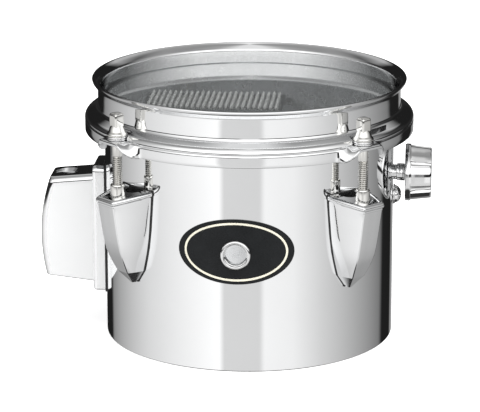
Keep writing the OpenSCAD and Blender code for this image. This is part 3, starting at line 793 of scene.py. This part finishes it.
def badge_plate():
    seg = 160
    angles = [360 * i / seg for i in range(seg)]
    rows = []
    for k, lift in [(1.0, -0.57), (1.0, -0.12), (0.994, -0.02), (0.985, 0.0)]:
        rows.append([on_badge(*ellipse(t, k), lift) for t in angles])
    # the face, from the rim in to the vent hole
    for f in (0.2, 0.4, 0.6, 0.8, 1.0):
        row = []
        for t in angles:
            ex, ez = ellipse(t, 0.985)
            hx, hz = 5.85 * math.cos(math.radians(t)), VENT_Z - BADGE_Z + 5.85 * math.sin(math.radians(t))
            row.append(on_badge(ex * (1 - f) + hx * f, ez * (1 - f) + hz * f, 0.0))
        rows.append(row)
    return loft(rows, cap=(False, False))


def border():
    """The badge's printed edge: one plain oval line."""
    return ribbon([ellipse(3 * i, 0.87) for i in range(121)], lambda q: 1.1)


def build_badge():
    plate = badge_plate()
    ob = join("vent_badge", [plate, border()], 30, enamel)
    ob.data.materials.append(cream)
    for p in ob.data.polygons:
        if p.index >= len(plate[1]):
            p.material_index = 1
    return stands_for(ob, "badge")


def build_grommet():
    inside = [(5.36, 73.35), (6.9, 73.35), (7.3, 73.5), (7.4, 73.8), (7.3, 74.15), (6.6, 74.2), (5.72, 74.2)]
    lip = [(5.72, 76.63), (7.5, 76.63), (7.68, 76.75), (7.73, 77.1), (7.66, 77.45), (7.4, 77.8)]
    mouth = [(7.05, 78.02), (6.7, 78.1), (6.35, 78.06), (6.1, 77.9), (5.95, 77.6), (5.9, 77.3), (5.72, 77.1)]
    mouth += [(5.5, 77.0), (5.38, 76.8)]
    turn = to_angle(VENT_ANGLE)
    geo = xf(lathe(inside + lip + mouth, 96, closed=True), lambda v: turn((v[2], v[0], v[1] + VENT_Z)))
    return stands_for(join("vent_ring", [geo], 32, chrome_trim), "vent_grommet")


build_shell()
build_hoop()
build_lugs()
build_bracket()
build_knob()
build_neck()
build_dome()
build_washers()
build_badge()
build_grommet()
for key in LUG_ANGLES:
    build_rod(key)
build_nuts()
build_film()
build_wires()


# ------------------------------------------------------------------ studio
AZ = math.radians(4.5)


def world():
    """A photo studio for chrome: which way each wall faces is set by azimuth, and its height by elevation."""
    w = bpy.data.worlds.new("studio")
    bpy.context.scene.world = w
    w.use_nodes = True
    nt = w.node_tree
    nt.nodes.clear()
    out = nt.nodes.new("ShaderNodeOutputWorld")
    bg = nt.nodes.new("ShaderNodeBackground")
    tc = nt.nodes.new("ShaderNodeTexCoord")
    sep = nt.nodes.new("ShaderNodeSeparateXYZ")
    rot = nt.nodes.new("ShaderNodeVectorRotate")
    rot.rotation_type = "Z_AXIS"
    rot.inputs["Angle"].default_value = -AZ
    nt.links.new(tc.outputs["Generated"], rot.inputs["Vector"])
    nt.links.new(rot.outputs[0], sep.inputs[0])

    def math_node(op, a, b=0.0):
        n = nt.nodes.new("ShaderNodeMath")
        n.operation = op
        for k, v in enumerate((a, b)):
            if isinstance(v, (int, float)):
                n.inputs[k].default_value = v
            else:
                nt.links.new(v, n.inputs[k])
        return n.outputs[0]

    # azimuth from the camera's side, positive towards the picture's right: -180..180 as 0..1
    az = math_node("ARCTAN2", sep.outputs["X"], math_node("MULTIPLY", sep.outputs["Y"], -1))
    azn = math_node("ADD", math_node("DIVIDE", az, 2 * math.pi), 0.5)
    el = math_node("DIVIDE", math_node("ARCSINE", sep.outputs["Z"]), math.pi)
    eln = math_node("ADD", el, 0.5)

    def lin(grey):
        """An 8-bit grey of the picture as scene-linear light."""
        v = grey / 255
        return v / 12.92 if v < 0.04045 else ((v + 0.055) / 1.055) ** 2.4

    def by_azimuth(stops):
        return ramp(nt, azn, [(d / 360 + 0.5, v) for d, v in stops])

    def mirrored(stops):
        """Stops for 0..180 degrees, repeated on the left."""
        return by_azimuth([(-d, v) for d, v in reversed(stops)] + stops)

    def between(d0, d1, up=True):
        """A mask that rises, or falls, between two elevations."""
        return ramp(nt, eln, [(d0 / 180 + 0.5, 0.0 if up else 1.0), (d1 / 180 + 0.5, 1.0 if up else 0.0)])

    # what the upright shell mirrors, from behind on the left round to behind on the right
    greys = [(-180, 235), (-176, 60), (-170, 28), (-146, 28), (-141, 132), (-128, 160), (-110, 186),
             (-88, 212), (-50, 238), (-24, 254), (-20, 210), (8, 208), (12, 240), (35, 234), (60, 205),
             (95, 165), (128, 118), (134, 30), (155, 28), (160, 140), (172, 160), (180, 235)]
    side = by_azimuth([(d, lin(g)) for d, g in greys])
    # a dark line at the horizon, open in front
    edge = by_azimuth([(-180, 0.02), (-8, 0.02), (-5, 0.6), (6, 0.6), (9, 0.02), (180, 0.02)])
    # above the horizon: black behind, bright in front
    back = mirrored([(40, 1.25), (80, 0.5), (115, 0.05), (140, 0.012), (180, 0.012)])
    # high behind: a lit wall
    rear = mirrored([(40, 1.25), (80, 0.5), (122, 0.1), (150, 0.42), (180, 0.42)])
    # overhead
    top = by_azimuth([(-180, 0.8), (-150, 0.3), (-90, 0.26), (-60, 0.34), (-25, 0.72), (18, 0.72), (50, 0.34),
                      (90, 0.26), (150, 0.3), (180, 0.8)])
    # the lit table, and straight below it the dark foot
    low = by_azimuth([(-180, 0.25), (-110, 0.35), (-60, 0.66), (50, 0.66), (110, 0.3), (180, 0.25)])
    foot = by_azimuth([(-180, 0.03), (180, 0.03)])

    def mix(f, a, b):
        n = nt.nodes.new("ShaderNodeMix")
        n.data_type = "RGBA"
        nt.links.new(f, n.inputs["Factor"])
        nt.links.new(a, n.inputs["A"])
        nt.links.new(b, n.inputs["B"])
        return n.outputs["Result"]

    col = mix(between(-9, -6), side, edge)
    col = mix(between(3, 7), col, back)
    col = mix(between(24, 31), col, rear)
    col = mix(between(42, 58), col, top)
    col = mix(between(-42, -28, False), col, low)
    col = mix(between(-62, -52, False), col, foot)
    nt.links.new(col, bg.inputs["Color"])
    bg.inputs["Strength"].default_value = 1.12
    nt.links.new(bg.outputs[0], out.inputs[0])


def floor():
    m, nt, b = nodes_of("pale_floor")
    nt.links.new(ramp(nt, noise(nt, 6), [(0.3, 0.93), (0.7, 0.96)]), b.inputs["Base Color"])
    b.inputs["Roughness"].default_value = 0.9
    b.inputs["Emission Color"].default_value = (1, 1, 1, 1)
    b.inputs["Emission Strength"].default_value = 0.72
    far, z = 4000, -0.05
    corners = [(-far, -far, z), (far, -far, z), (far, far, z), (-far, far, z)]
    ob = new_mesh("studio_floor", corners, [(0, 1, 2, 3)], mat=m)
    ob.visible_glossy = False


def key_light():
    light = bpy.data.lights.new("key", "AREA")
    light.energy = 24
    light.size = 1.2
    light.shape = "DISK"
    ob = bpy.data.objects.new("key", light)
    ob.location = (0.25, -0.35, 1.5)
    ob.rotation_euler = (Vector((0, 0, 0.05)) - ob.location).to_track_quat("-Z", "Y").to_euler()
    ob.visible_glossy = False
    bpy.context.scene.collection.objects.link(ob)


def camera():
    """The photo's camera: from a little to the right, looking down 15.8 degrees."""
    cam = bpy.data.cameras.new("camera")
    cam.lens = 204.8
    cam.sensor_width = 36
    cam.shift_x = -9.4 / 480
    cam.clip_end = 20
    ob = bpy.data.objects.new("camera", cam)
    ob.location = (0.1093, -1.3887, 0.4608)
    ob.rotation_euler = (math.pi / 2 - 0.2758, 0, AZ)
    bpy.context.scene.collection.objects.link(ob)
    bpy.context.scene.camera = ob


world()
floor()
key_light()
camera()
bpy.context.scene.view_settings.view_transform = "Standard"
bpy.context.scene.cycles.max_bounces = 10
bpy.context.scene.cycles.caustics_reflective = False
